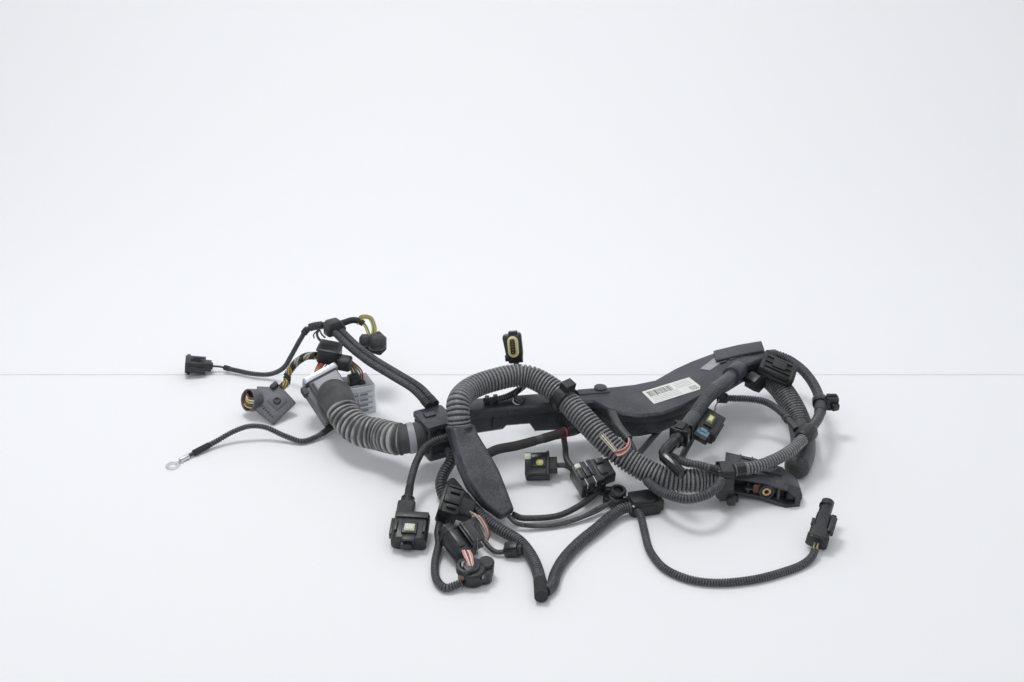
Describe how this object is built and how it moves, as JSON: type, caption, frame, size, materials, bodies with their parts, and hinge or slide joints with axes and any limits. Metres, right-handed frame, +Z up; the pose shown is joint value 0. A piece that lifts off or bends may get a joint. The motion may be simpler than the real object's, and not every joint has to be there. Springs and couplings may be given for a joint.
{
  "type": "wiring harness",
  "caption": "Engine wiring harness: moulded duct and cover, corrugated conduits, bellows hose, plug connectors, clips, bracket and ring terminal.",
  "frame": {"origin": "on the plane that the harness lies on, under the middle of the box of its rigid pieces", "axes": "+X along the duct from the bellows hose to the far arcs, +Y away from the viewer, +Z up"},
  "size_m": [0.7618, 0.4617, 0.1195],
  "materials": {
    "conduit": "satin corrugated plastic",
    "sleeve": "matt woven sleeve and cloth tape",
    "duct": "fine-grained moulded plastic, dusty",
    "plastic": "satin moulded plastic",
    "rubber": "matt, dusty, worn lighter on the ribs",
    "light_plastic": "light grey, matt",
    "plated": "dull silver",
    "terminal": "tinned",
    "brass": "dull",
    "wires": "yellow and green insulation with black spiral tape"
  },
  "bodies": {
    "root": {"trunk_bundle": "conduit", "twin_conduit": "conduit", "sensor_lead": "conduit", "branch_lead": "conduit", "striped_bundle": "wires", "ground_lead": "conduit", "loop_conduit": "conduit", "boot_cable": "conduit", "wide_rib_conduit": "conduit", "joint_sleeve": "conduit", "folded_conduit": "conduit", "return_conduit": "conduit", "short_conduit": "conduit", "floor_cable": "conduit", "duct_cable": "conduit", "hanging_lead": "conduit", "cover_sleeve": "conduit", "front_loop": "conduit", "outlet_tube": "conduit", "front_lead": "conduit", "inner_arc": "conduit", "outer_arc": "conduit", "ribbed_link": "conduit", "woven_hose": "sleeve", "rim_conduit": "conduit", "duct_tray": "duct", "duct_cover": "duct", "junction_box": "duct", "junction_lid": "duct", "bellows_hose": "rubber", "module_hood": "rubber", "module_frame": "plated", "module_block": "light_plastic", "wire_trunk": "sleeve", "branch_cap": "rubber", "sensor_connector": "plastic", "covered_connector": "rubber", "plate_connector": "plastic", "ring_terminal": "terminal", "elbow_plug": "plastic", "pin_connector": "plastic", "sleeve_connector": "plastic", "round_connector": "plastic", "black_connector": "plastic", "hanging_connector": "plastic", "blade_connector": "plastic", "branch_housing": "plastic", "elbow_connector": "plastic", "lock_connector": "plastic", "nose_connector": "plastic", "flat_connector": "plastic", "cap_sensor": "plastic", "upright_connector": "plastic", "flat_shroud": "duct", "loop_clip": "plastic", "arc_clip": "plastic", "arc_tape": "sleeve", "link_clamp": "plastic", "lower_bracket": "duct", "bracket_insert": "brass"}
  },
  "joints": []
}
